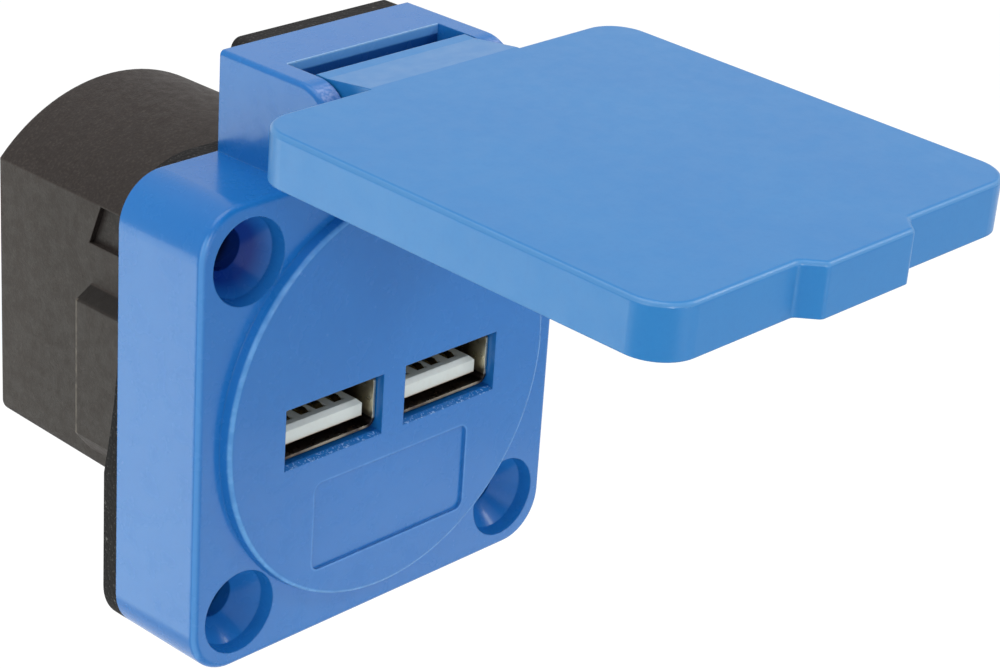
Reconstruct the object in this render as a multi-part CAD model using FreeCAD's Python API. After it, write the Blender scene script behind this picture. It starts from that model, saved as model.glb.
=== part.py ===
"""Panel-mount twin USB-A charging socket with a hinged splash cover.

Millimetres. The origin is the centre of the square flange, on the face of the
panel that the gasket presses against. +Z is up, -Y is the side where a USB
plug goes in, and +Y runs back through the panel.
"""
import FreeCAD
import Part
import os

# USB-A receptacles
usb_shell_w = 13.0
usb_shell_h = 5.7
usb_shell_len = 14.0
usb_shell_wall = 0.3
usb_shell_corner_r = 0.9
usb_between = 3.3
usb_centre_z = -0.7
usb_setback = 1.0
usb_side_gap = 0.12
usb_end_gap = 0.35
usb_mouth_chamfer = 0.3
usb_base_len = 3.2
tongue_side_room = 0.65
tongue_h = 1.85
tongue_setback = 0.9
tongue_bottom_gap = 0.75
tongue_bevel = 0.45
contact_w = 1.0
contact_groove = 0.45
contact_thick = 0.25
contact_front_wall = 1.2
contact_side_gap = 0.2
contact_end_gap = 0.1
contact_clear_h = 1.2
contact_bow = 0.35
usb_inner_contact = 1.0
usb_outer_contact = 3.5

# Rear housing
shell_depth = 30.4
shell_wall = 1.6
shell_offset_z = 0.6
shell_edge_r = 0.8
shell_low_corner_r = 1.4
shell_board_room = 0.9
floor_above_arc = 4.6
floor_rise = 0.9
collar_usb_room = 0.75
collar_len = 14.6
collar_top_z = 5.7
collar_ramp = 1.3
spigot_beyond_collar = 3.3
spigot_len = 5.0
spigot_gap = 0.15
shell_over_spigot = 0.2
notch_top_z = 14.6
notch_bottom_z = 10.1
notch_len = 13.2
notch_slope = 1.8
notch_depth = 0.7
housing_port_margin = 0.3

# Square flange
flange_margin = 3.05
flange_depth = 11.9
flange_corner_r = 5.1
flange_edge_r = 0.7
front_wall = 2.0
hole_inset = 6.0
hole_rim_r = 4.5
hole_seat_r = 4.2
hole_seat_depth = 1.5
hole_cone_depth = 3.9
hole_r = 2.2

# Raised round face
disc_beyond_spigot = 1.65
disc_rise = 1.3
disc_draft = 0.24
disc_edge_r = 0.35
label_short_of_disc = 0.35
label_h = 9.9
label_depth = 0.3
label_corner_r = 1.0
label_centre_x = 0.3
label_above_rim = 4.95

# Foam gasket
gasket_thick = 2.0
gasket_beyond_spigot = 1.75
gasket_waist = 2.0
gasket_waist_z = 13.0
gasket_waist_half = 20.0
gasket_top_corner_r = 10.5
gasket_tab_left_inset = 3.1
gasket_tab_right_inset = 0.8
gasket_tab_corner_r = 1.2

# Hinge block
block_half_w = 12.75
block_above_flange = 10.3
block_edge_r = 0.5
ear_thick = 2.55
ear_nose_r = 4.4
ear_nose_reach = 3.4
slot_back_depth = 6.6
slot_floor_gap = 0.6

# Hinge axis and pin
hinge_above_flange = 4.7
hinge_before_flange = 0.3
pin_r = 1.25
pin_run_gap = 0.05
pin_blind_wall = 1.2
pin_sunk = 0.3

# Cover
lid_side_inset = 0.6
lid_end_inset = 0.5
lid_thick = 5.2
lid_wall = 2.0
lid_skin = 2.0
lid_corner_r = 4.0
lid_edge_r = 0.5
lid_seat_gap = 0.2
lid_open_deg = 88.8
tab_reach = 1.85
tab_root_half_w = 7.7
tab_tip_half_w = 6.0
tab_corner_r = 0.8
knuckle_r = 3.6
knuckle_side_gap = 0.25
tongue_above_axis = 2.1
tongue_thick = 3.0
web_ramp_len = 5.6
web_end_r = 0.4

# Cover seal and the rib that holds it
seal_margin = 1.2
seal_w = 2.6
seal_rib_wall = 1.0
seal_rib_low = 1.2

# Snap arms that hold the housing
snap_w = 3.6
snap_thick = 1.3
snap_reach = 6.0
snap_nose = 0.8
snap_nose_len = 2.4
snap_gap = 0.2
snap_centre_z = -8.3

# Circuit board, its screws and its lugs
board_thick = 1.6
board_front_gap = 0.3
board_side_gap = 0.4
board_end_gap = 0.8
board_step_y = 10.0
board_screw_x = 8.0
board_screw_behind_usb = 3.2
board_screw_r = 1.0
board_screw_len = 5.0
board_screw_head_r = 1.9
board_screw_head_h = 1.3
board_hole_gap = 0.1
cross_w = 0.5
cross_depth = 0.7
cross_reach = 0.7
lug_w = 5.0
lug_h = 4.5
lug_past_screw = 3.0

# Terminal block
terminal_len = 8.4
terminal_h = 11.6
terminal_pitch = 6.0
terminal_end_wall = 0.2
terminal_wall_gap = 0.3
wire_bore = 4.6
wire_centre_above = 3.4
screw_bore_r = 1.8
screw_centre_above = 8.6
clamp_wall = 0.6
clamp_len = 5.5
clamp_clear = 0.05
terminal_screw_r = 1.65
terminal_screw_len = 5.6
terminal_screw_sunk = 0.8
terminal_slot_w = 0.6
terminal_slot_deep = 0.8

# Parts on the board
part_gap = 0.3
edge_gap = 0.5
input_cap_r = 4.0
input_cap_h = 10.5
input_cap_x = -7.6
output_cap_r = 3.15
output_cap_h = 9.0
output_cap_x = -0.1
cap_groove_r = 0.35
cap_foot_h = 1.4
coil_r = 4.4
coil_flange_h = 1.2
coil_h = 6.0
coil_waist_r = 2.3
coil_wire_out = 0.4
coil_x = 7.6
chip_w = 5.0
chip_d = 4.0
chip_h = 1.6
leg_out = 0.6
leg_w = 0.4
leg_root = 0.2
leg_pitch = 0.95
leg_count = 4
diode_w = 2.6
diode_d = 4.6
diode_h = 2.2
chip_cap_w = 1.25
chip_cap_d = 2.0
chip_cap_h = 1.2
chip_cap_pitch = 2.2
fuse_w = 2.6
fuse_len = 6.1
fuse_h = 2.4
fuse_cap_len = 1.5
fuse_cap_step = 0.15

# Widths and radii worked out from the sizes above
usb_pitch = usb_shell_w + usb_between
tongue_w = usb_shell_w - 2 * usb_shell_wall - 2 * tongue_side_room
collar_flat_x = usb_pitch / 2 + usb_shell_w / 2 + collar_usb_room + shell_wall
spigot_r = collar_flat_x + spigot_beyond_collar
shell_r = spigot_r + shell_over_spigot
gasket_hole_r = spigot_r + gasket_beyond_spigot
disc_r = spigot_r + disc_beyond_spigot
half = disc_r + flange_margin
flange_side = 2 * half
hole_pitch = flange_side - 2 * hole_inset
label_w = disc_r - label_short_of_disc
lid_w = flange_side - 2 * lid_side_inset
lid_len = flange_side - 2 * lid_end_inset
seal_outer_r = lid_w / 2 - lid_wall - seal_margin
seal_inner_r = seal_outer_r - seal_w
slot_half_w = block_half_w - ear_thick
knuckle_half_w = slot_half_w - knuckle_side_gap
terminal_w = 2 * terminal_pitch + 2 * terminal_end_wall
board_rear_half_w = terminal_w / 2 + fuse_w + diode_w + part_gap + 2 * terminal_end_wall + part_gap
board_front_half_w = collar_flat_x - shell_wall - board_side_gap
shell_flat_x = board_rear_half_w + shell_board_room + shell_wall

# Planes worked out from the sizes above
flange_back_y = -gasket_thick
flange_front_y = flange_back_y - flange_depth
disc_front_y = flange_front_y - disc_rise
cavity_front_y = flange_front_y + front_wall
slot_back_y = flange_back_y - slot_back_depth
hinge_y = flange_front_y - hinge_before_flange
hinge_z = half + hinge_above_flange
block_top_z = half + block_above_flange
label_centre_z = label_above_rim + label_h / 2 - disc_r
lid_top_z = half - lid_end_inset
lid_mid_z = lid_top_z - lid_len / 2
lid_inner_y = disc_front_y - lid_seat_gap
lid_outer_y = lid_inner_y - lid_thick
lid_floor_y = lid_outer_y + lid_skin
shell_floor_front_z = floor_above_arc - shell_r
usb_front_y = disc_front_y + usb_setback
usb_back_y = usb_front_y + usb_shell_len
usb_bottom_z = usb_centre_z - usb_shell_h / 2
board_top_z = usb_bottom_z
board_bottom_z = board_top_z - board_thick
board_end_y = shell_depth - shell_wall - board_end_gap
board_screw_y = usb_back_y + board_screw_behind_usb
terminal_back_y = shell_depth - shell_wall - terminal_wall_gap
terminal_front_y = terminal_back_y - terminal_len
wire_z = board_top_z + wire_centre_above
clamp_screw_z = board_top_z + screw_centre_above

# Places of the parts on the board
first_row_y = board_screw_y + board_screw_head_r + part_gap
input_cap_y = first_row_y + input_cap_r
output_cap_y = first_row_y + output_cap_r
coil_y = first_row_y + coil_r
last_row_y = board_end_y - edge_gap
fuse_x = -(terminal_w / 2 + terminal_end_wall + fuse_w / 2)
fuse_y = last_row_y - fuse_len / 2
diode_x = fuse_x - fuse_w / 2 - part_gap - diode_w / 2
diode_y = last_row_y - diode_d / 2
chip_x = terminal_w / 2 + edge_gap + chip_w / 2
chip_cap_y = last_row_y - chip_cap_d / 2
chip_y = chip_cap_y - chip_cap_d / 2 - edge_gap - chip_d / 2

# Lengths that only have to run past a surface
past = 1.0
sink = 0.5
reach = 100.0


def box(x0, x1, y0, y1, z0, z1):
    """Box between two corners."""
    return Part.makeBox(x1 - x0, y1 - y0, z1 - z0, FreeCAD.Vector(x0, y0, z0))


def rod_y(x, z, r, y0, y1):
    """Round bar along Y."""
    return Part.makeCylinder(r, y1 - y0, FreeCAD.Vector(x, y0, z), FreeCAD.Vector(0, 1, 0))


def rod_x(y, z, r, x0, x1):
    """Round bar along X."""
    return Part.makeCylinder(r, x1 - x0, FreeCAD.Vector(x0, y, z), FreeCAD.Vector(1, 0, 0))


def rod_z(x, y, r, z0, z1):
    """Round bar along Z."""
    return Part.makeCylinder(r, z1 - z0, FreeCAD.Vector(x, y, z0), FreeCAD.Vector(0, 0, 1))


def cone_y(x, z, r0, r1, y0, y1):
    """Cone along Y, r0 wide at y0 and r1 wide at y1."""
    return Part.makeCone(r0, r1, y1 - y0, FreeCAD.Vector(x, y0, z), FreeCAD.Vector(0, 1, 0))


def fuse_all(shapes):
    """One solid from several that touch or overlap."""
    whole = shapes[0]
    for shape in shapes[1:]:
        whole = whole.fuse(shape)
    return whole.removeSplitter()


def round_edges(shape, radius, wanted):
    """Fillet the edges that the test picks."""
    edges = [edge for edge in shape.Edges if wanted(edge)]
    return shape.makeFillet(radius, edges) if edges else shape


def along(edge, axis):
    """True for a straight edge along axis 0, 1 or 2."""
    ends = edge.Vertexes
    if len(ends) != 2 or not isinstance(edge.Curve, Part.Line):
        return False
    run = [abs(ends[0].Point[i] - ends[1].Point[i]) for i in range(3)]
    return run[axis] > 1e-6 and all(run[i] < 1e-6 for i in range(3) if i != axis)


def rounded_slab(w, h, y0, y1, corner_r, cx=0.0, cz=0.0):
    """Slab across Y with its four corners rounded."""
    slab = box(cx - w / 2, cx + w / 2, y0, y1, cz - h / 2, cz + h / 2)
    return round_edges(slab, corner_r, lambda edge: along(edge, 1))


def prism(points, axis, start, length):
    """Straight extrusion of a closed outline; points are in the plane across the axis."""
    place = {
        "x": lambda a, b: FreeCAD.Vector(start, a, b),
        "y": lambda a, b: FreeCAD.Vector(a, start, b),
        "z": lambda a, b: FreeCAD.Vector(a, b, start),
    }[axis]
    push = {
        "x": FreeCAD.Vector(length, 0, 0),
        "y": FreeCAD.Vector(0, length, 0),
        "z": FreeCAD.Vector(0, 0, length),
    }[axis]
    corners = [place(a, b) for a, b in points]
    wire = Part.makePolygon(corners + corners[:1])
    return Part.Face(wire).extrude(push)


def mirrored_x(shape):
    """Same shape on the other side of the middle plane."""
    return shape.mirror(FreeCAD.Vector(0, 0, 0), FreeCAD.Vector(1, 0, 0))


def screw_places():
    """Centres of the four corner holes."""
    far = hole_pitch / 2
    return [(sx * far, sz * far) for sx in (-1, 1) for sz in (-1, 1)]


def usb_places():
    """Centres of the two receptacles across X."""
    return [-usb_pitch / 2, usb_pitch / 2]


def snap_arm_x():
    """Outer face of a snap arm."""
    return collar_flat_x - shell_wall - snap_gap


def lug_end_y():
    """Rear end of the lugs under the board."""
    return board_screw_y + lug_past_screw


def flange_body():
    """Square flange with rounded corners and a soft front edge."""
    body = rounded_slab(flange_side, flange_side, flange_front_y, flange_back_y, flange_corner_r)
    return round_edges(body, flange_edge_r, lambda edge: at_y(edge, flange_front_y))


def at_y(edge, y):
    """True for an edge that lies in the plane at y."""
    bounds = edge.BoundBox
    return abs(bounds.YMin - y) < 1e-6 and abs(bounds.YMax - y) < 1e-6


def raised_disc():
    """Round face that stands proud of the flange."""
    core = rod_y(0, 0, disc_r, flange_front_y, cavity_front_y)
    disc = cone_y(0, 0, disc_r, disc_r + disc_draft, disc_front_y, flange_front_y).fuse(core)
    return round_edges(disc, disc_edge_r, lambda edge: at_y(edge, disc_front_y))


def hinge_block():
    """Block over the flange with two ears and a slot between them."""
    nose_y = hinge_y + ear_nose_r - ear_nose_reach
    nose_z = block_top_z - ear_nose_r
    ear_front = box(-block_half_w, block_half_w, nose_y, flange_back_y, half - flange_edge_r, block_top_z)
    nose = rod_x(nose_y, nose_z, ear_nose_r, -block_half_w, block_half_w)
    block = ear_front.fuse(nose).removeSplitter()
    block = round_edges(block, block_edge_r, lambda edge: on_ear_side(edge, nose_y))
    slot_floor_z = hinge_z - knuckle_r - slot_floor_gap
    slot = box(-slot_half_w, slot_half_w, nose_y - reach, slot_back_y, slot_floor_z, block_top_z + reach)
    front_trim = box(-slot_half_w, slot_half_w, nose_y - reach, flange_front_y, 0, block_top_z + reach)
    return block.cut(slot).cut(front_trim)


def on_ear_side(edge, nose_y):
    """True for the outer top and nose edges of the hinge block."""
    bounds = edge.BoundBox
    flat = bounds.XMax - bounds.XMin < 1e-6
    side = abs(abs(bounds.XMin) - block_half_w) < 1e-6
    top = bounds.ZMin > half + past
    front = bounds.YMin < nose_y + 1e-6
    return flat and side and (top or front)


def corner_hole(x, z):
    """Recessed seat, countersink and clearance bore of one fixing screw."""
    seat_y = flange_front_y + hole_seat_depth
    cone_y1 = flange_front_y + hole_cone_depth
    seat = cone_y(x, z, hole_rim_r, hole_seat_r, flange_front_y, seat_y)
    countersink = cone_y(x, z, hole_seat_r, hole_r, seat_y, cone_y1)
    bore = rod_y(x, z, hole_r, cone_y1, flange_back_y + past)
    mouth = rod_y(x, z, hole_rim_r, disc_front_y - past, flange_front_y)
    return fuse_all([mouth, seat, countersink, bore])


def usb_opening(x):
    """Window that one receptacle looks out of."""
    w = usb_shell_w + 2 * usb_side_gap
    z0 = usb_bottom_z - usb_end_gap
    z1 = usb_bottom_z + usb_shell_h + usb_end_gap
    window = box(x - w / 2, x + w / 2, disc_front_y - past, cavity_front_y + past, z0, z1)
    bevel_z = z0 - usb_mouth_chamfer
    bevel_y = disc_front_y + 2 * usb_mouth_chamfer
    bevel = prism([(disc_front_y, bevel_z), (bevel_y, z0), (disc_front_y, z0)], "x", x - w / 2, w)
    return window.fuse(bevel)


def label_recess():
    """Shallow blank panel sunk in the round face."""
    return rounded_slab(label_w, label_h, disc_front_y - past, disc_front_y + label_depth,
                        label_corner_r, label_centre_x, label_centre_z)


def pin_bore():
    """Blind bore through the ears; its closed end is on the left."""
    return rod_x(hinge_y, hinge_z, pin_r, -block_half_w + pin_blind_wall, block_half_w + past)


def snap_arm():
    """Springy arm on the left with a nose that hooks into the housing."""
    x_out = -snap_arm_x()
    z0 = snap_centre_z - snap_w / 2
    z1 = snap_centre_z + snap_w / 2
    y_end = snap_reach
    arm = box(x_out, x_out + snap_thick, cavity_front_y - sink, y_end, z0, z1)
    nose = prism([(x_out, y_end - snap_nose_len), (x_out - snap_nose, y_end - snap_nose_len),
                  (x_out, y_end)], "z", z0, snap_w)
    return arm.fuse(nose)


def board_lugs():
    """Two lugs behind the round face, under the board, one for each board screw."""
    y0 = cavity_front_y
    lugs = []
    for x in (-board_screw_x, board_screw_x):
        lug = box(x - lug_w / 2, x + lug_w / 2, y0, lug_end_y(), board_bottom_z - lug_h, board_bottom_z)
        hole_z = board_top_z - board_screw_len
        lugs.append(lug.cut(rod_z(x, board_screw_y, board_screw_r, hole_z, board_bottom_z + past)))
    return Part.makeCompound(lugs)


def front_plate():
    """Moulded front: flange, round face, hinge block and snap arms."""
    body = fuse_all([flange_body(), raised_disc(), hinge_block()])
    cavity = rod_y(0, 0, spigot_r + spigot_gap, cavity_front_y, flange_back_y + past)
    body = body.cut(cavity)
    cuts = [corner_hole(x, z) for x, z in screw_places()]
    cuts += [usb_opening(x) for x in usb_places()]
    cuts += [label_recess(), pin_bore()]
    for cut in cuts:
        body = body.cut(cut)
    return fuse_all([body, snap_arm(), mirrored_x(snap_arm())])


def gasket():
    """Foam seal cut to the outline of the front plate, with hollowed sides."""
    square = box(-half, half, flange_back_y, 0, -half, half)
    square = round_edges(square, flange_corner_r, lambda edge: along(edge, 1) and edge.BoundBox.ZMax < 0)
    square = round_edges(square, gasket_top_corner_r, lambda edge: along(edge, 1) and edge.BoundBox.ZMin > 0)
    tab_left = gasket_tab_left_inset - block_half_w
    tab_right = block_half_w - gasket_tab_right_inset
    tab = box(tab_left, tab_right, flange_back_y, 0, half - gasket_top_corner_r, block_top_z)
    tab = round_edges(tab, gasket_tab_corner_r, lambda edge: along(edge, 1) and edge.BoundBox.ZMin > half)
    sheet = square.fuse(tab)
    bow_r = (gasket_waist_half ** 2 + gasket_waist ** 2) / (2 * gasket_waist)
    bow_x = -half - bow_r + gasket_waist
    y0 = flange_back_y - past
    bow = rod_y(bow_x, gasket_waist_z, bow_r, y0, past)
    cuts = [bow, mirrored_x(bow), rod_y(0, 0, gasket_hole_r, y0, past)]
    cuts += [rod_y(x, z, hole_r, y0, past) for x, z in screw_places()]
    for cut in cuts:
        sheet = sheet.cut(cut)
    return sheet.removeSplitter()


def shell_profile(inset, y0, y1):
    """Arched housing section, drawn in by the inset, between two planes across Y."""
    x = shell_flat_x - inset
    arch = rod_y(0, shell_offset_z, shell_r - inset, y0, y1)
    arch = arch.common(box(-x, x, y0, y1, 0, shell_r + shell_offset_z))
    slope = floor_rise / shell_depth
    z0 = shell_floor_front_z + slope * y0 + inset
    z1 = shell_floor_front_z + slope * y1 + inset
    lower = prism([(y0, z0), (y1, z1), (y1, 0), (y0, 0)], "x", -x, 2 * x)
    return arch.fuse(lower).removeSplitter()


def is_low_corner(edge):
    """True for the lower long edges of the housing section."""
    middle = edge.CenterOfMass
    return middle.z < shell_floor_front_z / 2 and abs(abs(middle.x) - shell_flat_x) < sink


def collar_profile(inset, y0, y1):
    """Wider round section next to the panel, flat on both sides, with a sloped top end."""
    x = collar_flat_x - inset
    ring = rod_y(0, shell_offset_z, shell_r - inset, y0, y1)
    top = collar_top_z - inset
    side = [(-reach, -reach), (reach, -reach), (reach, top - collar_ramp), (x, top - collar_ramp),
            (shell_flat_x - inset, top), (-shell_flat_x + inset, top), (-x, top - collar_ramp),
            (-reach, top - collar_ramp)]
    return ring.common(box(-x, x, y0, y1, -reach, reach)).common(prism(side, "y", y0, y1 - y0))


def side_notch():
    """Shallow recess high on the left side, next to the gasket."""
    x = -shell_flat_x
    outline = [(0.0, notch_bottom_z), (notch_len + notch_slope, notch_bottom_z),
               (notch_len, notch_top_z), (0.0, notch_top_z)]
    return prism(outline, "x", x - reach, reach + notch_depth)


def snap_pocket():
    """Hollow in the collar wall that the nose of the left snap arm hooks into."""
    x_wall = -(collar_flat_x - shell_wall)
    x_nose = -snap_arm_x() - snap_nose - snap_gap
    z0 = snap_centre_z - snap_w / 2 - snap_gap
    z1 = snap_centre_z + snap_w / 2 + snap_gap
    y0 = snap_reach - snap_nose_len - snap_gap
    return box(x_nose, x_wall + sink, y0, snap_reach + snap_gap, z0, z1)


def rear_ports():
    """Cable and screwdriver openings through the rear wall."""
    y0 = shell_depth - shell_wall - past
    y1 = shell_depth + past
    w = wire_bore / 2 + housing_port_margin
    cuts = []
    for x in terminal_places():
        cuts.append(box(x - w, x + w, y0, y1, wire_z - w, wire_z + w))
        cuts.append(rod_y(x, clamp_screw_z, screw_bore_r + housing_port_margin, y0, y1))
    return cuts


def terminal_places():
    """Centres of the two cable ways across X."""
    return [-terminal_pitch / 2, terminal_pitch / 2]


def rear_housing():
    """Moulded cover behind the panel: arched shell, collar and the spigot inside the flange."""
    outer = shell_profile(0, 0, shell_depth)
    outer = round_edges(outer, shell_low_corner_r, is_low_corner)
    outer = round_edges(outer, shell_edge_r, lambda edge: at_y(edge, shell_depth))
    outer = outer.fuse(collar_profile(0, 0, collar_len)).removeSplitter()
    spigot_y = flange_back_y - spigot_len
    closing_plate = rod_y(0, 0, spigot_r, -shell_wall, 0)
    spigot = rod_y(0, 0, spigot_r, spigot_y, 0)
    whole = fuse_all([outer, closing_plate, spigot])
    hollow = shell_profile(shell_wall, -shell_wall - past, shell_depth - shell_wall)
    collar_hollow = collar_profile(shell_wall, -shell_wall - past, collar_len - shell_wall)
    spigot_hollow = rod_y(0, 0, spigot_r - shell_wall, spigot_y - past, -shell_wall)
    cuts = [hollow, collar_hollow, spigot_hollow, side_notch(), mirrored_x(side_notch())]
    cuts += [snap_pocket(), mirrored_x(snap_pocket())]
    cuts += rear_ports()
    for cut in cuts:
        whole = whole.cut(cut)
    return whole.removeSplitter()


def opened(shape):
    """Turns a piece of the cover from closed to the angle at which it stands open."""
    turned = shape.copy()
    turned.rotate(FreeCAD.Vector(0, hinge_y, hinge_z), FreeCAD.Vector(1, 0, 0), -lid_open_deg)
    return turned


def lid():
    """Splash cover with its hollow underside, thumb tab and hinge knuckle."""
    low_z = lid_top_z - lid_len
    plate = rounded_slab(lid_w, lid_len, lid_outer_y, lid_inner_y, lid_corner_r, cz=lid_mid_z)
    tab = prism([(-tab_root_half_w, low_z + lid_wall), (-tab_root_half_w, low_z),
                 (-tab_tip_half_w, low_z - tab_reach), (tab_tip_half_w, low_z - tab_reach),
                 (tab_root_half_w, low_z), (tab_root_half_w, low_z + lid_wall)],
                "y", lid_outer_y, lid_thick)
    body = round_edges(fuse_all([plate, tab]), tab_corner_r,
                       lambda edge: along(edge, 1) and edge.CenterOfMass.z < low_z + sink
                       and abs(edge.CenterOfMass.x) < tab_root_half_w + sink)
    body = round_edges(body, lid_edge_r, lambda edge: at_y(edge, lid_outer_y))
    body = fuse_all([body, knuckle_web(), knuckle_barrel()])
    pocket = rounded_slab(lid_w - 2 * lid_wall, lid_len - 2 * lid_wall, lid_floor_y,
                          lid_inner_y + past, lid_corner_r - lid_wall, cz=lid_mid_z)
    bore = rod_x(hinge_y, hinge_z, pin_r + pin_run_gap, -reach, reach)
    return opened(fuse_all([body.cut(pocket), seal_rib()]).cut(bore))


def knuckle_web():
    """Continuation of the cover into the slot, ramped down to lie level with the hinge block."""
    under_y = lid_outer_y + tongue_thick
    end_y = hinge_y - (block_top_z - hinge_z)
    end_z = hinge_z + tongue_above_axis
    low_z = lid_top_z - lid_wall
    web = prism([(lid_outer_y, low_z), (lid_outer_y, lid_top_z), (end_y, lid_top_z + web_ramp_len),
                 (end_y, end_z), (under_y, end_z), (under_y, low_z)],
                "x", -knuckle_half_w, 2 * knuckle_half_w)
    return round_edges(web, web_end_r, lambda edge: at_y(edge, end_y) and edge.CenterOfMass.z > end_z - sink)


def knuckle_barrel():
    """Round knuckle on the hinge axis, with the neck that joins it to the web."""
    barrel = rod_x(hinge_y, hinge_z, knuckle_r, -knuckle_half_w, knuckle_half_w)
    neck = box(-knuckle_half_w, knuckle_half_w, lid_outer_y + tongue_thick - sink, hinge_y,
               hinge_z - tongue_above_axis, hinge_z + tongue_above_axis - lid_edge_r)
    return barrel.fuse(neck)


def seal_rib():
    """Low ring inside the cover that the seal is pressed around."""
    rib = rod_y(0, lid_mid_z, seal_inner_r, lid_floor_y - sink, lid_inner_y - seal_rib_low)
    return rib.cut(rod_y(0, lid_mid_z, seal_inner_r - seal_rib_wall, lid_outer_y, lid_inner_y))


def lid_seal():
    """Soft ring seated in the cover that closes on the round face."""
    ring = rod_y(0, lid_mid_z, seal_outer_r, lid_floor_y, lid_inner_y)
    hole = rod_y(0, lid_mid_z, seal_inner_r, lid_outer_y, lid_inner_y + past)
    return opened(ring.cut(hole))


def hinge_pin():
    """Steel pin, tight in the ears and free in the knuckle."""
    return rod_x(hinge_y, hinge_z, pin_r, -block_half_w + pin_blind_wall, block_half_w - pin_sunk)


def usb_shell(x):
    """Folded steel shell of one receptacle, open at the front and the back."""
    y1 = usb_back_y
    outer = rounded_slab(usb_shell_w, usb_shell_h, usb_front_y, y1, usb_shell_corner_r, x, usb_centre_z)
    t = usb_shell_wall
    inner = rounded_slab(usb_shell_w - 2 * t, usb_shell_h - 2 * t, usb_front_y - past, y1 + past,
                         usb_shell_corner_r - t, x, usb_centre_z)
    return outer.cut(inner)


def contact_places(x):
    """Centres of the four contacts of one receptacle, spaced as on every type A socket."""
    return [x - usb_outer_contact, x - usb_inner_contact, x + usb_inner_contact, x + usb_outer_contact]


def groove_floor_z():
    """Height of the floor of the contact grooves."""
    return usb_bottom_z + usb_shell_wall + tongue_bottom_gap + tongue_h - contact_groove


def usb_core(x):
    """White insulator of one receptacle: rear base and grooved tongue."""
    t = usb_shell_wall
    base_y = usb_back_y - usb_base_len
    base = rounded_slab(usb_shell_w - 2 * t, usb_shell_h - 2 * t, base_y, usb_back_y,
                        usb_shell_corner_r - t, x, usb_centre_z)
    y0 = usb_front_y + tongue_setback
    z0 = usb_bottom_z + t + tongue_bottom_gap
    z1 = z0 + tongue_h
    tongue = box(x - tongue_w / 2, x + tongue_w / 2, y0, base_y + sink, z0, z1)
    tongue = tongue.makeChamfer(tongue_bevel, [edge for edge in tongue.Edges if on_tongue_top(edge, y0, z1)])
    core = base.fuse(tongue).removeSplitter()
    w = contact_w / 2 + contact_side_gap
    for cx in contact_places(x):
        core = core.cut(box(cx - w, cx + w, y0 + contact_front_wall, usb_back_y + past,
                            groove_floor_z(), groove_floor_z() + contact_clear_h))
    return core


def on_tongue_top(edge, y0, z1):
    """True for the front and side edges of the top of the tongue."""
    bounds = edge.BoundBox
    level = abs(bounds.ZMin - z1) < 1e-6 and abs(bounds.ZMax - z1) < 1e-6
    return level and (along(edge, 1) or bounds.YMax < y0 + 1e-6)


def usb_contacts(x):
    """Four spring strips of one receptacle, bowed up near the mouth and down to the board behind."""
    y0 = usb_front_y + tongue_setback + contact_front_wall + contact_end_gap
    y1 = usb_back_y + contact_thick + contact_end_gap
    z0 = groove_floor_z()
    t = contact_thick
    bow = contact_bow
    side = [(y0, z0), (y1 - t, z0), (y1 - t, board_top_z), (y1, board_top_z), (y1, z0 + t),
            (y0 + 6 * t + 2 * bow, z0 + t), (y0 + 3 * t + bow, z0 + t + bow), (y0 + t + bow, z0 + t + bow),
            (y0, z0 + t)]
    strips = [prism(side, "x", cx - contact_w / 2, contact_w) for cx in contact_places(x)]
    return Part.makeCompound(strips)


def circuit_board():
    """Board under the receptacles, narrower towards the rear."""
    y0 = cavity_front_y + board_front_gap
    wide = board_front_half_w
    slim = board_rear_half_w
    outline = [(-wide, y0), (wide, y0), (wide, board_step_y), (slim, board_step_y), (slim, board_end_y),
               (-slim, board_end_y), (-slim, board_step_y), (-wide, board_step_y)]
    board = prism(outline, "z", board_bottom_z, board_thick)
    for side in (-1, 1):
        board = board.cut(rod_z(side * board_screw_x, board_screw_y, board_screw_r + board_hole_gap,
                                board_bottom_z - past, board_top_z + past))
    return board


def board_screws():
    """Two small screws that hold the board on its lugs."""
    screws = []
    long_arm = cross_reach * board_screw_head_r
    short_arm = cross_w / 2
    head_z = board_top_z + board_screw_head_h
    for x in (-board_screw_x, board_screw_x):
        y = board_screw_y
        shank = rod_z(x, y, board_screw_r, board_top_z - board_screw_len, board_top_z)
        screw = shank.fuse(rod_z(x, y, board_screw_head_r, board_top_z, head_z))
        for dx, dy in ((long_arm, short_arm), (short_arm, long_arm)):
            screw = screw.cut(box(x - dx, x + dx, y - dy, y + dy, head_z - cross_depth, head_z + past))
        screws.append(screw)
    return Part.makeCompound(screws)


def capacitor(x, y, r, h):
    """Standing aluminium can with the rolled groove near its foot."""
    can = rod_z(x, y, r, board_top_z, board_top_z + h)
    can = round_edges(can, cap_groove_r, lambda edge: edge.BoundBox.ZMin > board_top_z + h / 2)
    groove = Part.makeTorus(r, cap_groove_r, FreeCAD.Vector(x, y, board_top_z + cap_foot_h))
    return can.cut(groove)


def inductor_core():
    """Ferrite bobbin: two flanges and a waist."""
    z0 = board_top_z
    lower = rod_z(coil_x, coil_y, coil_r, z0, z0 + coil_flange_h)
    waist = rod_z(coil_x, coil_y, coil_waist_r, z0, z0 + coil_h)
    upper = rod_z(coil_x, coil_y, coil_r, z0 + coil_h - coil_flange_h, z0 + coil_h)
    return fuse_all([lower, waist, upper])


def inductor_winding():
    """Copper winding between the flanges of the bobbin."""
    z0 = board_top_z + coil_flange_h
    z1 = board_top_z + coil_h - coil_flange_h
    coil = rod_z(coil_x, coil_y, coil_r - coil_wire_out, z0, z1)
    return coil.cut(rod_z(coil_x, coil_y, coil_waist_r, z0 - past, z1 + past))


def flat_component(x, y, w, d, h):
    """Small block standing on the board."""
    return box(x - w / 2, x + w / 2, y - d / 2, y + d / 2, board_top_z, board_top_z + h)


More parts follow.
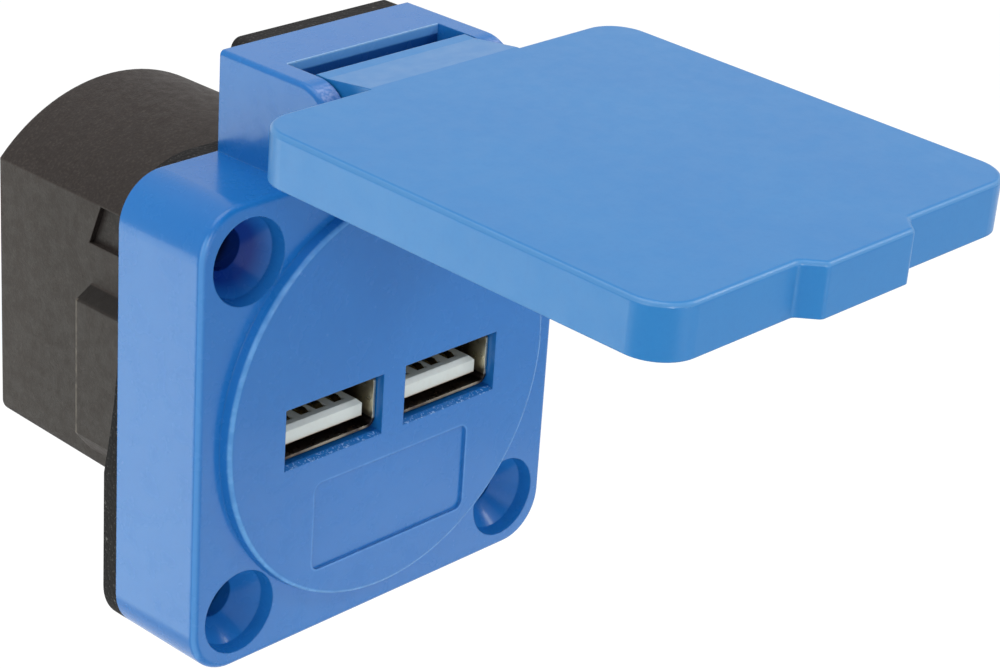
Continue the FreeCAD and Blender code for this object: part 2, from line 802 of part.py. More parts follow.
def controller_chip():
    """Converter chip with its eight short legs."""
    body = flat_component(chip_x, chip_y, chip_w - 2 * leg_out, chip_d, chip_h)
    legs = []
    for side in (-1, 1):
        for i in range(leg_count):
            y = chip_y + (i - (leg_count - 1) / 2) * leg_pitch
            x = chip_x + side * (chip_w - leg_out - leg_root) / 2
            legs.append(flat_component(x, y, leg_out + leg_root, leg_w, leg_w))
    return fuse_all([body] + legs)


def ceramic_capacitors():
    """Two small chip capacitors side by side."""
    pair = []
    for x in (chip_x - chip_cap_pitch / 2, chip_x + chip_cap_pitch / 2):
        pair.append(flat_component(x, chip_cap_y, chip_cap_w, chip_cap_d, chip_cap_h))
    return Part.makeCompound(pair)


def rectifier_diode():
    """Moulded diode with a thinner tab at each end."""
    body = flat_component(diode_x, diode_y, diode_w, diode_d - 2 * leg_out, diode_h)
    return fuse_all([body, flat_component(diode_x, diode_y, diode_w / 2, diode_d, leg_w)])


def fuse_block():
    """Board fuse: a square bar with a cap at each end."""
    bar = flat_component(fuse_x, fuse_y, fuse_w - 2 * fuse_cap_step, fuse_len, fuse_h - fuse_cap_step)
    caps = []
    for end in (-1, 1):
        y = fuse_y + end * (fuse_len - fuse_cap_len) / 2
        caps.append(flat_component(fuse_x, y, fuse_w, fuse_cap_len, fuse_h))
    return fuse_all([bar] + caps)


def terminal_block():
    """Insulating block with two cable ways and two screw wells."""
    y0 = terminal_front_y
    y1 = terminal_back_y
    block = box(-terminal_w / 2, terminal_w / 2, y0, y1, board_top_z, board_top_z + terminal_h)
    w = wire_bore / 2
    for x in terminal_places():
        block = block.cut(clamp_space(x, 0.0, y0 - past))
        block = block.cut(box(x - w, x + w, y0, y1 + past, wire_z - w, wire_z + w))
        block = block.cut(rod_y(x, clamp_screw_z, screw_bore_r, y0, y1 + past))
    return block


def clamp_space(x, inset, y0):
    """Room that one clamp takes up in the terminal block, less the inset."""
    w = wire_bore / 2 - inset
    z1 = clamp_screw_z + screw_bore_r + clamp_wall - inset
    return box(x - w, x + w, y0, terminal_front_y + clamp_len, wire_z - w, z1)


def terminal_clamps():
    """Two brass clamps, each with a cable way below its screw."""
    y0 = terminal_front_y - past
    y1 = terminal_back_y
    w = wire_bore / 2 - clamp_clear - clamp_wall
    clamps = []
    for x in terminal_places():
        clamp = clamp_space(x, clamp_clear, terminal_front_y)
        clamp = clamp.cut(box(x - w, x + w, y0, y1, wire_z - w, wire_z + w))
        clamps.append(clamp.cut(rod_y(x, clamp_screw_z, terminal_screw_r, y0, y1)))
    return Part.makeCompound(clamps)


def terminal_screws():
    """Two slotted clamp screws."""
    y1 = terminal_back_y - terminal_screw_sunk
    screws = []
    for x in terminal_places():
        screw = rod_y(x, clamp_screw_z, terminal_screw_r, y1 - terminal_screw_len, y1)
        slot = box(x - reach, x + reach, y1 - terminal_slot_deep, y1 + past,
                   clamp_screw_z - terminal_slot_w / 2, clamp_screw_z + terminal_slot_w / 2)
        screws.append(screw.cut(slot))
    return Part.makeCompound(screws)


def all_nodes():
    """Every piece under its own name."""
    left, right = usb_places()
    return {
        "front_plate": front_plate(),
        "board_lugs": board_lugs(),
        "gasket": gasket(),
        "rear_housing": rear_housing(),
        "lid": lid(),
        "lid_seal": lid_seal(),
        "hinge_pin": hinge_pin(),
        "usb_shell_left": usb_shell(left),
        "usb_shell_right": usb_shell(right),
        "usb_core_left": usb_core(left),
        "usb_core_right": usb_core(right),
        "usb_contacts_left": usb_contacts(left),
        "usb_contacts_right": usb_contacts(right),
        "circuit_board": circuit_board(),
        "board_screws": board_screws(),
        "input_capacitor": capacitor(input_cap_x, input_cap_y, input_cap_r, input_cap_h),
        "output_capacitor": capacitor(output_cap_x, output_cap_y, output_cap_r, output_cap_h),
        "inductor_core": inductor_core(),
        "inductor_winding": inductor_winding(),
        "controller_chip": controller_chip(),
        "ceramic_capacitors": ceramic_capacitors(),
        "rectifier_diode": rectifier_diode(),
        "board_fuse": fuse_block(),
        "terminal_block": terminal_block(),
        "terminal_clamps": terminal_clamps(),
        "terminal_screws": terminal_screws(),
    }


def main():
    """Writes one file per piece."""
    os.makedirs("parts", exist_ok=True)
    for name, shape in all_nodes().items():
        shape.exportStep(f"parts/{name}.step")
        print(name, len(shape.Solids), round(shape.Volume, 2), shape.isValid())


main()
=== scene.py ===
import bpy
from mathutils import Matrix, Vector

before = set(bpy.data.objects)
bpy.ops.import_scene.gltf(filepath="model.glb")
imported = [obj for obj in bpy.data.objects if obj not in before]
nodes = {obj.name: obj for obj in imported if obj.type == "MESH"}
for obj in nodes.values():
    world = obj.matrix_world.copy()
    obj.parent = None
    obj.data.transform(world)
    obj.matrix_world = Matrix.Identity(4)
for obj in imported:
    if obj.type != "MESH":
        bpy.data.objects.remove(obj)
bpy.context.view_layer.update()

# Front plate, in metres: y = 0 is the panel's face, x = z = 0 the middle of the flange
flange_half = 0.025
flange_y = -0.0139
hole_place = flange_half - 0.0060
hole_seat_r = 0.00425
disc_r = flange_half - 0.00305
disc_y = flange_y - 0.0013
label_left, label_right = -0.0105, 0.0111
label_low, label_top = -0.0170, -0.0071
label_corner = 0.0010

# Hinge block
block_top = flange_half + 0.0103
slot_half_w = 0.0102
slot_foot = 0.0300
slot_back_y = -0.0086
slot_lit_depth = 0.0010
nose_half_w = 0.0122
nose_front_y = -0.0143
nose_low, nose_high = 0.0341, 0.0351

# USB receptacles
mouth_x = 0.00815
mouth_half_w = 0.0062
sill_low, sill_top = -0.00425, -0.00392
shell_front_y = -0.0142
shell_dark_y = -0.0116
shell_lip_z = -0.0028
shell_roof_z = 0.00145
shell_corner_x = 0.0050
tongue_foot = -0.0025

# Rear housing
housing_side_x = 0.0148
collar_half_w = 0.0170
collar_end_y = 0.0146
collar_top = 0.0057
collar_ramp = 0.0013

# Parts on the board
sleeve_low, sleeve_top = -0.0034, 0.0048
lead_low, lead_top = -0.00355, -0.00315

# Shaded radius of the moulded edges, and of the rim of the round face
edge_soft = 0.00018
rim_soft = 0.0006

# Surroundings
floor_z = -0.22
floor_half = 3.0
floor_grey = 0.86
floor_glow = 1.16
floor_glow_share = 0.8
world_level = 0.41


def linear(r, g, b):
    """Linear colour from sRGB values of 0 to 255."""
    out = []
    for value in (r, g, b):
        v = value / 255
        out.append(v / 12.92 if v <= 0.04045 else ((v + 0.055) / 1.055) ** 2.4)
    return out[0], out[1], out[2], 1.0


class Shade:
    """Builds one procedural material with a principled shader."""

    def __init__(self, name, base, rough, metal=0.0, spec=0.5):
        self.material = bpy.data.materials.new(name)
        self.material.use_nodes = True
        self.tree = self.material.node_tree
        self.bsdf = self.tree.nodes["Principled BSDF"]
        self.bsdf.inputs["Roughness"].default_value = rough
        self.bsdf.inputs["Metallic"].default_value = metal
        self.bsdf.inputs["Specular IOR Level"].default_value = spec
        self.bsdf.inputs["Base Color"].default_value = base
        self.material.diffuse_color = base
        self.coords = self.node("ShaderNodeTexCoord").outputs["Object"]
        self.base = base
        self.colour = None
        self.normal = None

    def node(self, kind, **inputs):
        """New node; an underscore in the name of an input stands for a space."""
        made = self.tree.nodes.new(kind)
        for key, value in inputs.items():
            made.inputs[key.replace("_", " ")].default_value = value
        return made

    def join(self, source, target):
        """Links an output to an input."""
        self.tree.links.new(source, target)

    def noise(self, scale, detail=2.0, rough=0.5):
        """Cloudy pattern that stays on the piece."""
        made = self.node("ShaderNodeTexNoise", Scale=scale, Detail=detail, Roughness=rough)
        self.join(self.coords, made.inputs["Vector"])
        return made.outputs["Fac"]

    def remap(self, value, low, high, to_low=0.0, to_high=1.0):
        """Ramp from one range to another, held level beyond its ends."""
        made = self.node("ShaderNodeMapRange")
        made.inputs["From Min"].default_value = low
        made.inputs["From Max"].default_value = high
        made.inputs["To Min"].default_value = to_low
        made.inputs["To Max"].default_value = to_high
        self.join(value, made.inputs["Value"])
        return made.outputs["Result"]

    def below(self, value, start, end):
        """1 before the start and 0 past the end."""
        return self.remap(value, start, end, 1.0, 0.0)

    def between(self, value, low, high, soft):
        """1 where the value lies between two limits, with soft ends."""
        return self.times(self.remap(value, low - soft, low + soft),
                          self.below(value, high - soft, high + soft))

    def math(self, kind, a, b=0.0):
        """One step of arithmetic on values that are numbers or outputs."""
        made = self.tree.nodes.new("ShaderNodeMath")
        made.operation = kind
        for socket, value in zip(made.inputs, (a, b)):
            if isinstance(value, (int, float)):
                socket.default_value = value
            else:
                self.join(value, socket)
        return made.outputs[0]

    def times(self, first, *others):
        """Product of all the values."""
        product = first
        for value in others:
            product = self.math("MULTIPLY", product, value)
        return product

    def away(self, value, centre=0.0):
        """Distance of the value from a centre, to either side."""
        return self.math("ABSOLUTE", self.math("SUBTRACT", value, centre))

    def length(self, a, b):
        """Straight distance made of two distances at right angles."""
        return self.math("SQRT", self.math("ADD", self.times(a, a), self.times(b, b)))

    def part_of(self, vector, axis):
        """One of the three parts of a vector."""
        made = self.node("ShaderNodeSeparateXYZ")
        self.join(vector, made.inputs[0])
        return made.outputs[axis]

    def place(self, axis):
        """Place on the piece along one axis."""
        return self.part_of(self.coords, axis)

    def places(self):
        """Place on the piece along x, y and z."""
        return [self.place(axis) for axis in "XYZ"]

    def facing(self, axis):
        """How far the surface faces along an axis, from -1 to 1."""
        return self.part_of(self.node("ShaderNodeTexCoord").outputs["Normal"], axis)

    def paint(self, factor, colour):
        """Lays a colour over what is there, as far as the factor says."""
        made = self.tree.nodes.new("ShaderNodeMix")
        made.data_type = "RGBA"
        self.join(factor, made.inputs[0])
        if self.colour is None:
            made.inputs[6].default_value = self.base
        else:
            self.join(self.colour, made.inputs[6])
        made.inputs[7].default_value = colour
        self.colour = made.outputs[2]

    def speckle(self, colour, scale, detail, low, high, strength):
        """Lays a colour over the peaks of a noise, from its low to its high value."""
        self.paint(self.remap(self.noise(scale, detail), low, high, 0.0, strength), colour)

    def highlight_strength(self, scale, detail, weakest, strongest):
        """Uneven strength of a painted highlight line."""
        return self.remap(self.noise(scale, detail), 0.35, 0.60, weakest, strongest)

    def soften(self, radius, wider=None):
        """Shades the edges as if rounded; wider is an output that sets the radius instead."""
        made = self.node("ShaderNodeBevel", Radius=radius)
        made.samples = 4
        if wider is not None:
            self.join(wider, made.inputs["Radius"])
        self.normal = made.outputs["Normal"]

    def bump(self, height, distance, strength=1.0):
        """Fine relief on top of the softened edges."""
        made = self.node("ShaderNodeBump", Strength=strength, Distance=distance)
        self.join(height, made.inputs["Height"])
        if self.normal is not None:
            self.join(self.normal, made.inputs["Normal"])
        self.normal = made.outputs["Normal"]

    def vary_rough(self, value, low, high):
        """Roughness that follows a noise."""
        self.join(self.remap(value, 0.35, 0.65, low, high), self.bsdf.inputs["Roughness"])

    def done(self):
        """Links the last colour and relief to the shader."""
        if self.colour is not None:
            self.join(self.colour, self.bsdf.inputs["Base Color"])
        if self.normal is not None:
            self.join(self.normal, self.bsdf.inputs["Normal"])
        return self.material


def blue_plastic(name, base, light, dark, rough, spec, coat):
    """Moulded nylon-like plastic with a fine etched grain."""
    shade = Shade(name, base, rough, spec=spec)
    shade.bsdf.inputs["Coat Weight"].default_value = coat
    shade.bsdf.inputs["Coat Roughness"].default_value = 0.09
    shade.speckle(light, scale=90.0, detail=3.0, low=0.40, high=0.75, strength=0.35)
    shade.speckle(dark, scale=2200.0, detail=2.0, low=0.50, high=0.75, strength=0.22)
    shade.speckle(light, scale=3400.0, detail=2.0, low=0.58, high=0.80, strength=0.25)
    shade.vary_rough(shade.noise(500.0, detail=2.0), rough - 0.02, rough + 0.04)
    return shade


def etched(shade, wider=None):
    """Soft edges and the fine grain of the mould."""
    shade.soften(edge_soft, wider)
    shade.bump(shade.noise(1400.0, detail=1.0, rough=0.4), distance=0.000003, strength=0.5)
    return shade.done()


def front_plastic():
    """Plastic of the front plate, with painted highlights and glints on its edges and painted
    light and shade in its holes and slot.
    """
    shade = blue_plastic("blue_plastic", linear(28, 108, 181), linear(38, 116, 187),
                         linear(18, 95, 171), rough=0.25, spec=0.24, coat=0.12)
    x, y, z = shade.places()
    paint_sills(shade, x, y, z)
    paint_screw_holes(shade, x, y, z)
    paint_label_edge(shade, x, y, z)
    paint_ear_noses(shade, x, y, z)
    paint_slot(shade, x, y, z)
    paint_flange_edge(shade, x, z)
    return etched(shade, paint_rim(shade, x, y, z))


def paint_sills(shade, x, y, z):
    """Painted glints: pale specks on the bevel under each USB opening."""
    sill = shade.times(shade.between(z, sill_low, sill_top, soft=0.00004),
                       shade.between(y, disc_y - 0.0001, disc_y + 0.0007, soft=0.0001),
                       shade.below(shade.away(shade.away(x), mouth_x),
                                   mouth_half_w, mouth_half_w + 0.0004))
    specks = shade.remap(shade.noise(4200.0, detail=3.0), 0.55, 0.64)
    shade.paint(shade.times(sill, specks), linear(150, 186, 230))


def paint_screw_holes(shade, x, y, z):
    """Shade in the four screw holes, deeper in the upper two and in the bores."""
    off_x = shade.math("SUBTRACT", shade.away(x), hole_place)
    off_z = shade.math("SUBTRACT", shade.away(z), hole_place)
    inside = shade.below(shade.length(off_x, off_z), hole_seat_r, hole_seat_r + 0.00015)
    upper = shade.remap(z, -0.001, 0.001, 0.08, 0.92)
    seat = shade.remap(y, flange_y + 0.0010, flange_y + 0.0030)
    shade.paint(shade.times(inside, upper, seat), linear(14, 44, 126))
    bore = shade.remap(y, flange_y + 0.0052, flange_y + 0.0060, 0.0, 0.85)
    shade.paint(shade.times(inside, bore), linear(6, 18, 62))


def paint_label_edge(shade, x, y, z):
    """Painted highlight line around the label recess, on the round face."""
    half_w, half_h = (label_right - label_left) / 2, (label_top - label_low) / 2
    off_x = shade.away(x, label_left + half_w)
    off_z = shade.away(z, label_low + half_h)
    past_x = shade.math("MAXIMUM", shade.math("SUBTRACT", off_x, half_w - label_corner), 0.0)
    past_z = shade.math("MAXIMUM", shade.math("SUBTRACT", off_z, half_h - label_corner), 0.0)
    line = shade.between(shade.length(past_x, past_z),
                         label_corner - 0.00002, label_corner + 0.00020, soft=0.00006)
    on_face = shade.remap(y, disc_y + 0.0001, disc_y + 0.00035, 0.8, 0.0)
    strength = shade.highlight_strength(900.0, detail=3.0, weakest=0.45, strongest=0.75)
    shade.paint(shade.times(line, on_face, strength), linear(84, 146, 212))


def paint_ear_noses(shade, x, y, z):
    """Painted highlight patch on the front of the two hinge ears."""
    nose_highlight = shade.times(shade.between(z, nose_low, nose_high, soft=0.0002),
                         shade.below(y, nose_front_y - 0.0003, nose_front_y + 0.0001),
                         shade.remap(shade.noise(2600.0, detail=4.0), 0.40, 0.60, 0.15, 0.45),
                         shade.below(shade.away(x), nose_half_w, nose_half_w + 0.0002))
    shade.paint(nose_highlight, linear(176, 190, 232))


def paint_slot(shade, x, y, z):
    """Painted light on the upper part and painted shade at the foot of the rear wall of the hinge
    slot, and a painted highlight along its upper edge.
    """
    across = shade.below(shade.away(x), slot_half_w - 0.0001, slot_half_w)
    at_back = shade.between(y, slot_back_y - 0.0001, slot_back_y + 0.0001, soft=0.00004)
    wall = shade.times(across, at_back)
    lit_from, lit_to = block_top - slot_lit_depth - 0.0001, block_top - slot_lit_depth + 0.0001
    top = shade.remap(z, lit_from, lit_to, 0.0, 0.8)
    shade.paint(shade.times(wall, top), linear(104, 164, 224))
    foot = shade.times(shade.remap(z, lit_from, lit_to, 0.6, 0.0),
                       shade.remap(z, slot_foot, slot_foot + 0.0002))
    shade.paint(shade.times(wall, foot), linear(8, 30, 104))
    at_edge = shade.between(y, slot_back_y - 0.00005, slot_back_y + 0.00012, soft=0.00005)
    at_top = shade.remap(z, block_top - 0.0002, block_top - 0.0001, 0.0, 0.6)
    shade.paint(shade.times(across, at_edge, at_top), linear(158, 200, 238))


def paint_flange_edge(shade, x, z):
    """Painted highlight along the front edge on the left of the flange, below the hinge block."""
    turned = shade.between(shade.facing("Y"), -0.90, -0.40, soft=0.08)
    outer = shade.times(shade.remap(x, 0.0008 - flange_half, 0.0012 - flange_half, 0.7, 0.0),
                        shade.below(z, flange_half - 0.0015, flange_half - 0.0005))
    shade.paint(shade.times(turned, outer), linear(84, 146, 208))


def paint_rim(shade, x, y, z):
    """Painted highlight line on the rim of the round face; gives back the radius for its shaded
    edge.
    """
    from_centre = shade.length(x, z)
    on_face = shade.below(y, disc_y + 0.0003, disc_y + 0.0005)
    line = shade.between(from_centre, disc_r - 0.00028, disc_r + 0.00010, soft=0.00008)
    strength = shade.highlight_strength(500.0, detail=3.0, weakest=0.35, strongest=0.75)
    shade.paint(shade.times(line, on_face, strength), linear(104, 166, 222))
    near_rim = shade.between(from_centre, disc_r - 0.0006, disc_r + 0.0005, soft=0.0002)
    return shade.remap(shade.times(near_rim, on_face), 0.0, 1.0, edge_soft, rim_soft)


def lid_plastic():
    """Plastic of the cover, with a painted sheen along its upper edges."""
    shade = blue_plastic("blue_cover_plastic", linear(30, 119, 185), linear(40, 127, 190),
                         linear(20, 105, 176), rough=0.30, spec=0.36, coat=0.0)
    # Painted sheen where the surface turns between top and side.
    edge = shade.between(shade.facing("Z"), 0.22, 0.88, soft=0.05)
    shade.paint(shade.times(edge, 0.8), linear(80, 138, 192))
    return etched(shade)


def dark_plastic():
    """Coarse dark plastic of the rear housing, with painted light on its flat sides, painted
    shade on the sloped top of its collar and a painted highlight along the collar's end.
    """
    shade = Shade("dark_housing_plastic", linear(48, 43, 41), 0.58, spec=0.14)
    shade.speckle(linear(74, 67, 62), scale=3200.0, detail=4.0, low=0.50, high=0.72, strength=0.5)
    shade.speckle(linear(36, 32, 30), scale=2100.0, detail=3.0, low=0.55, high=0.75, strength=0.5)
    x, y, z = shade.places()
    off_x = shade.away(x)
    # Painted light: the flat sides paler than the arched top.
    shade.paint(shade.remap(off_x, housing_side_x, housing_side_x + 0.00008, 0.0, 0.5),
                linear(72, 66, 62))
    # Painted shade on the sloped top of the collar.
    collar = shade.times(shade.remap(off_x, housing_side_x + 0.0002, housing_side_x + 0.0003),
                         shade.below(y, collar_end_y - 0.0001, collar_end_y + 0.0001))
    slope = shade.between(z, collar_top - collar_ramp, collar_top, soft=0.0002)
    shade.paint(shade.times(collar, slope), linear(34, 31, 29))
    # Painted highlight along the end of the collar.
    outside = shade.remap(off_x, collar_half_w - 0.0003, collar_half_w - 0.0001)
    at_end = shade.between(y, collar_end_y - 0.00025, collar_end_y + 0.00015, soft=0.00006)
    strength = shade.highlight_strength(700.0, detail=2.0, weakest=0.1, strongest=0.5)
    shade.paint(shade.times(outside, at_end, strength), linear(132, 124, 114))
    shade.vary_rough(shade.noise(900.0, detail=3.0), 0.52, 0.64)
    shade.soften(edge_soft)
    shade.bump(shade.noise(2600.0, detail=5.0, rough=0.7), distance=0.00006, strength=0.9)
    return shade.done()


def foam():
    """Dark foam with open cells and a few pale specks."""
    shade = Shade("gasket_foam", linear(30, 29, 29), 0.85, spec=0.2)
    cells = shade.node("ShaderNodeTexVoronoi", Scale=2600.0)
    shade.join(shade.coords, cells.inputs["Vector"])
    shade.paint(shade.remap(cells.outputs["Distance"], 0.10, 0.28, 0.9, 0.0), linear(70, 68, 66))
    shade.speckle(linear(124, 122, 118),
                  scale=1500.0, detail=4.0, low=0.66, high=0.76, strength=0.7)
    shade.bump(cells.outputs["Distance"], distance=0.00012, strength=0.9)
    return shade.done()


def soft_rubber():
    """Dark rubber with dusty spots."""
    shade = Shade("seal_rubber", linear(30, 30, 32), 0.62, spec=0.4)
    shade.speckle(linear(58, 58, 60), scale=1100.0, detail=3.0, low=0.55, high=0.75, strength=0.4)
    shade.soften(0.0003)
    shade.bump(shade.noise(1800.0, detail=3.0), distance=0.00003, strength=0.7)
    return shade.done()


def metal(name, base, tint, rough, streak_axis="Y", edge=0.00008):
    """Plated or drawn metal with faint streaks along one axis and patchy roughness."""
    shade = Shade(name, base, rough, metal=1.0)
    across_streak, along_streak = 3000.0, 90.0
    mapping = shade.tree.nodes.new("ShaderNodeMapping")
    mapping.inputs["Scale"].default_value = [
        along_streak if axis == streak_axis else across_streak for axis in "XYZ"]
    shade.join(shade.coords, mapping.inputs["Vector"])
    streaks = shade.node("ShaderNodeTexNoise", Scale=1.0, Detail=3.0)
    shade.join(mapping.outputs[0], streaks.inputs["Vector"])
    shade.paint(shade.remap(streaks.outputs["Fac"], 0.45, 0.8, 0.0, 0.5), tint)
    shade.vary_rough(shade.noise(500.0, detail=3.0), rough - 0.06, rough + 0.10)
    shade.soften(edge)
    shade.bump(streaks.outputs["Fac"], distance=0.00001, strength=0.5)
    return shade.done()


def shell_metal():
    """Nickel plate: bright at the cut sides, with painted shade in the depth, under the roof, in
    the corners and underneath.
    """
    shade = Shade("shell_steel", linear(228, 218, 192), 0.30, metal=1.0)
    x, y, z = shade.places()
    # Painted shade, deeper towards the back of the shell.
    shade.paint(shade.remap(y, flange_y, shell_dark_y, 0.0, 0.94), linear(66, 57, 44))
    # Painted shade underneath, behind the lip and in the lower corners.
    low = shade.below(z, shell_lip_z, shell_lip_z + 0.0002)
    behind_lip = shade.remap(y, shell_front_y + 0.00002, shell_front_y + 0.00012)
    shade.paint(shade.times(low, behind_lip, 0.85), linear(34, 27, 21))
    corners = shade.remap(shade.away(shade.away(x), mouth_x),
                          shell_corner_x, shell_corner_x + 0.0006, 0.25, 0.95)
    shade.paint(shade.times(low, corners), linear(26, 24, 24))
    # Painted shade under the roof.
    roof = shade.remap(z, shell_roof_z, shell_roof_z + 0.0002, 0.0, 0.85)
    shade.paint(roof, linear(36, 33, 28))
    # Patchy painted shade underneath.
    patchy_shade = shade.remap(shade.noise(260.0, detail=2.0), 0.40, 0.60, 0.6, 0.95)
    shade.paint(shade.times(low, patchy_shade), linear(58, 52, 54))
    shade.speckle(linear(132, 118, 96),
                  scale=800.0, detail=3.0, low=0.52, high=0.74, strength=0.35)
    shade.vary_rough(shade.noise(900.0, detail=3.0), 0.24, 0.40)
    shade.soften(0.00006)
    shade.bump(shade.noise(1500.0, detail=3.0), distance=0.00001, strength=0.5)
    return shade.done()


def insulator():
    """Pale plastic of the tongue, browned along its foot."""
    shade = Shade("tongue_plastic", linear(206, 213, 209), 0.40)
    z = shade.place("Z")
    shade.paint(shade.remap(z, tongue_foot, tongue_foot + 0.0005, 0.45, 0.0),
                linear(190, 184, 166))
    shade.paint(shade.remap(z, tongue_foot, tongue_foot + 0.00012, 0.75, 0.0),
                linear(142, 100, 58))
    shade.speckle(linear(196, 198, 190),
                  scale=1300.0, detail=3.0, low=0.5, high=0.75, strength=0.35)
    shade.soften(0.00016)
    shade.bump(shade.noise(2400.0, detail=3.0), distance=0.000015, strength=0.6)
    return shade.done()


def board_mask():
    """Green lacquer of the board over raised tracks."""
    shade = Shade("solder_mask", linear(20, 92, 54), 0.32)
    field, track = (0.0, 0.0, 0.0, 1.0), (1.0, 1.0, 1.0, 1.0)
    tracks = shade.node("ShaderNodeTexBrick", Scale=210.0, Mortar_Size=0.035,
                        Color1=field, Color2=field, Mortar=track)
    shade.join(shade.coords, tracks.inputs["Vector"])
    shade.paint(shade.remap(tracks.outputs["Color"], 0.2, 0.8, 0.0, 0.8), linear(44, 128, 78))
    shade.speckle(linear(12, 66, 38), scale=600.0, detail=3.0, low=0.6, high=0.8, strength=0.4)
    shade.bump(tracks.outputs["Color"], distance=0.00004, strength=0.7)
    return shade.done()


def small_part(name, base, mark, rough, band=None):
    """Moulded part on the board, with fine grain and at most one band between two heights."""
    shade = Shade(name, base, rough)
    shade.speckle(mark, scale=2400.0, detail=3.0, low=0.5, high=0.75, strength=0.5)
    if band is not None:
        shade.paint(shade.between(shade.place("Z"), band[0], band[1], soft=0.00005), mark)
    shade.soften(0.00012)
    shade.bump(shade.noise(2800.0, detail=3.0), distance=0.00002, strength=0.7)
    return shade.done()


def can_finish():
    """Aluminium can in a dark sleeve, bare on top."""
    shade = Shade("capacitor_can", linear(196, 198, 202), 0.36, metal=0.6)
    shade.paint(shade.between(shade.place("Z"), sleeve_low, sleeve_top, soft=0.00008),
                linear(34, 40, 62))
    streaks = shade.noise(1700.0, detail=3.0)
    shade.paint(shade.remap(streaks, 0.55, 0.8, 0.0, 0.4), linear(120, 124, 134))
    shade.soften(0.0002)
    shade.bump(streaks, distance=0.00001, strength=0.6)
    return shade.done()


def winding_finish():
    """Copper wire in close turns, with painted shade between them."""
    shade = Shade("copper_wire", linear(186, 104, 58), 0.30, metal=1.0)
    turns = shade.node("ShaderNodeTexWave", Scale=700.0, Distortion=0.4)
    turns.bands_direction = "Z"
    shade.join(shade.coords, turns.inputs["Vector"])
    shade.paint(shade.remap(turns.outputs["Fac"], 0.0, 0.35, 0.7, 0.0), linear(92, 42, 20))
    shade.bump(turns.outputs["Fac"], distance=0.0002, strength=1.0)
    return shade.done()


blue = front_plastic()
cover_blue = lid_plastic()
foam_black = foam()
housing_black = dark_plastic()
rubber = soft_rubber()
shell = shell_metal()
white = insulator()
lacquer = board_mask()
can = can_finish()
copper = winding_finish()
steel = metal("pin_steel", linear(196, 198, 202), linear(140, 142, 148),
              rough=0.26, streak_axis="X")
screw = metal("screw_steel", linear(200, 202, 206), linear(150, 150, 152),
              rough=0.30, streak_axis="Z")
gold = metal("contact_gold", linear(164, 148, 108), linear(104, 92, 62),
             rough=0.26, streak_axis="Y", edge=0.00004)
brass = metal("clamp_brass", linear(196, 166, 96), linear(146, 116, 60),
              rough=0.34, streak_axis="Y")
black = small_part("chip_black", linear(34, 34, 36), linear(78, 78, 80),
                   rough=0.55, band=(lead_low, lead_top))
ferrite = small_part("ferrite", linear(52, 52, 54), linear(92, 92, 94), rough=0.6)
ceramic = small_part("ceramic", linear(172, 148, 112), linear(208, 208, 206), rough=0.5)
fuse = small_part("fuse_body", linear(214, 214, 208), linear(176, 176, 170), rough=0.45)
terminal = small_part("terminal_plastic", linear(46, 118, 70), linear(36, 92, 56), rough=0.45)
finishes = {
    "front_plate": blue,
    "board_lugs": blue,
    "gasket": foam_black,
    "rear_housing": housing_black,
    "lid": cover_blue,
    "lid_seal": rubber,
    "hinge_pin": steel,
    "usb_shell_left": shell,
    "usb_shell_right": shell,
    "usb_core_left": white,
    "usb_core_right": white,
    "usb_contacts_left": gold,
    "usb_contacts_right": gold,
    "circuit_board": lacquer,
    "board_screws": screw,
    "input_capacitor": can,
    "output_capacitor": can,
    "inductor_core": ferrite,
    "inductor_winding": copper,
    "controller_chip": black,
    "ceramic_capacitors": ceramic,
    "rectifier_diode": black,
    "board_fuse": fuse,
    "terminal_block": terminal,
    "terminal_clamps": brass,
    "terminal_screws": screw,
}
for name, material in finishes.items():
    mesh = nodes[name].data
    mesh.materials.clear()
    mesh.materials.append(material)


def seen_by_eye(tree):
    """1 for camera, mirror and see-through rays."""
    path = tree.nodes.new("ShaderNodeLightPath")
    total = path.outputs["Is Camera Ray"]
    for name in ("Is Glossy Ray", "Is Transmission Ray"):
        made = tree.nodes.new("ShaderNodeMath")
        made.operation = "MAXIMUM"
        tree.links.new(total, made.inputs[0])
        tree.links.new(path.outputs[name], made.inputs[1])
        total = made.outputs[0]
    return total


def stage_plane():
    """Plain pale floor well below the part, which a panel holds in use."""
    corners = [(-floor_half, -floor_half, floor_z), (floor_half, -floor_half, floor_z),
               (floor_half, floor_half, floor_z), (-floor_half, floor_half, floor_z)]
    mesh = bpy.data.meshes.new("floor")
    mesh.from_pydata(corners, [], [(0, 1, 2, 3)])
    floor = bpy.data.objects.new("floor", mesh)
    bpy.context.scene.collection.objects.link(floor)
    material = bpy.data.materials.new("floor_pale")
    material.use_nodes = True
    tree = material.node_tree
    tree.nodes.clear()
    out = tree.nodes.new("ShaderNodeOutputMaterial")
    matt = tree.nodes.new("ShaderNodeBsdfDiffuse")
    matt.inputs["Color"].default_value = (floor_grey, floor_grey, floor_grey, 1.0)
    glow = tree.nodes.new("ShaderNodeEmission")
    glow.inputs["Strength"].default_value = floor_glow
    mix = tree.nodes.new("ShaderNodeMixShader")
    share = tree.nodes.new("ShaderNodeMath")
    share.operation = "MULTIPLY"
    share.inputs[1].default_value = floor_glow_share
    tree.links.new(seen_by_eye(tree), share.inputs[0])
    tree.links.new(share.outputs[0], mix.inputs[0])
    tree.links.new(matt.outputs[0], mix.inputs[1])
    tree.links.new(glow.outputs[0], mix.inputs[2])
    tree.links.new(mix.outputs[0], out.inputs[0])
    mesh.materials.append(material)


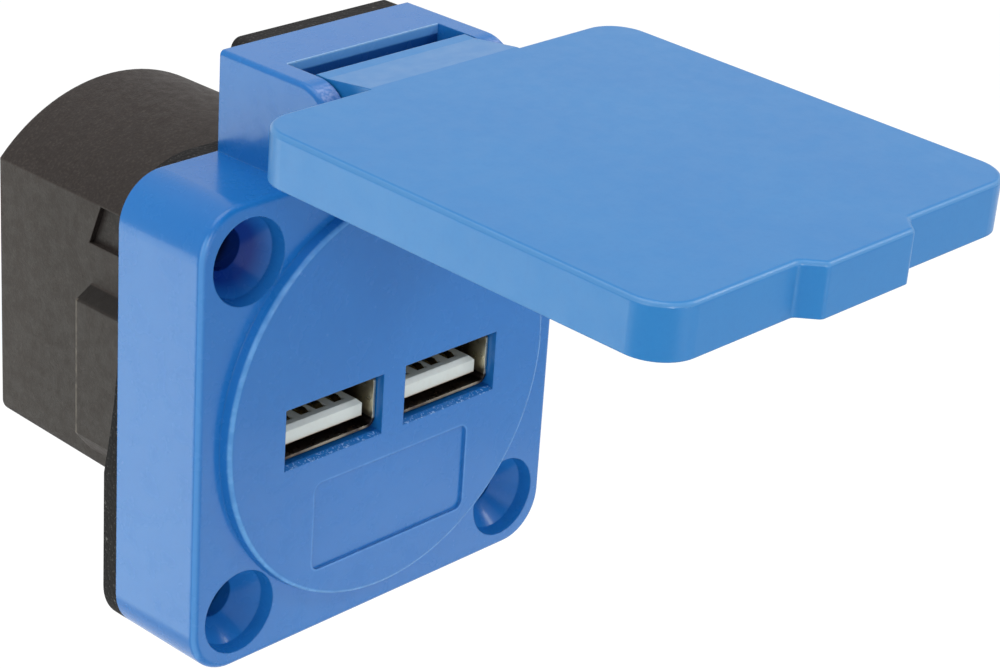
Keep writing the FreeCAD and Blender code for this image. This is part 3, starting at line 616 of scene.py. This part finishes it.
def soft_world(level):
    """White to the eye, and a dimmer even light on the part."""
    world = bpy.data.worlds.new("studio")
    bpy.context.scene.world = world
    world.use_nodes = True
    tree = world.node_tree
    tree.nodes.clear()
    out = tree.nodes.new("ShaderNodeOutputWorld")
    back = tree.nodes.new("ShaderNodeBackground")
    back.inputs["Color"].default_value = (1.0, 1.0, 1.0, 1.0)
    span = tree.nodes.new("ShaderNodeMapRange")
    span.inputs["To Min"].default_value = level
    span.inputs["To Max"].default_value = 1.0
    tree.links.new(seen_by_eye(tree), span.inputs["Value"])
    tree.links.new(span.outputs["Result"], back.inputs["Strength"])
    tree.links.new(back.outputs[0], out.inputs[0])


def soft_light(name, place, target, size, power, tint=(1.0, 1.0, 1.0)):
    """Rectangular soft box that points from its place to a target."""
    data = bpy.data.lights.new(name, "AREA")
    data.shape = "RECTANGLE"
    data.size = size[0]
    data.size_y = size[1]
    data.energy = power
    data.color = tint
    lamp = bpy.data.objects.new(name, data)
    bpy.context.scene.collection.objects.link(lamp)
    lamp.visible_camera = False
    lamp.location = place
    lamp.rotation_euler = (Vector(target) - Vector(place)).to_track_quat("-Z", "Y").to_euler()


def studio_lights():
    """Soft boxes around the part; the low left one is slightly cool."""
    soft_light("top_box", place=(-0.10, 0.05, 0.62), target=(0.0, -0.03, 0.02),
               size=(0.5, 0.5), power=2.4)
    soft_light("low_left_box", place=(-0.21, 0.17, -0.11), target=(-0.02, -0.02, 0.01),
               size=(0.22, 0.17), power=0.34, tint=(0.88, 1.0, 0.97))
    soft_light("left_fill", place=(-0.52, -0.08, 0.13), target=(-0.02, 0.0, 0.01),
               size=(0.24, 0.24), power=0.50)
    soft_light("key_strip", place=(-0.26, -0.60, 0.15), target=(0.0, 0.0, 0.0),
               size=(0.030, 0.24), power=1.15)
    soft_light("right_box", place=(0.39, -0.32, 0.39), target=(0.0, 0.0, -0.01),
               size=(0.16, 0.16), power=0.8)
    soft_light("front_fill", place=(0.10, -0.60, -0.12), target=(0.0, 0.0, 0.0),
               size=(0.30, 0.18), power=0.40)
    soft_light("low_right_box", place=(0.19, -0.20, -0.180), target=(0.0, -0.015, -0.015),
               size=(0.18, 0.07), power=0.05)


def photo_camera():
    """Camera where the photograph was taken from."""
    place = Vector((-0.181377, -0.192400, 0.124040))
    right = Vector((0.689750, -0.721155, 0.064656))
    up = Vector((0.262589, 0.332370, 0.905857))
    back = Vector((-0.674754, -0.607837, 0.418619))
    data = bpy.data.cameras.new("camera")
    data.sensor_fit = "HORIZONTAL"
    data.sensor_width = 36.0
    data.lens = 100.457
    data.clip_start = 0.01
    data.clip_end = 20.0
    camera = bpy.data.objects.new("camera", data)
    bpy.context.scene.collection.objects.link(camera)
    turn = Matrix((right, up, back)).transposed().to_4x4()
    camera.matrix_world = Matrix.Translation(place) @ turn
    bpy.context.scene.camera = camera


stage_plane()
soft_world(world_level)
studio_lights()
photo_camera()

bpy.context.scene.view_settings.view_transform = "Standard"
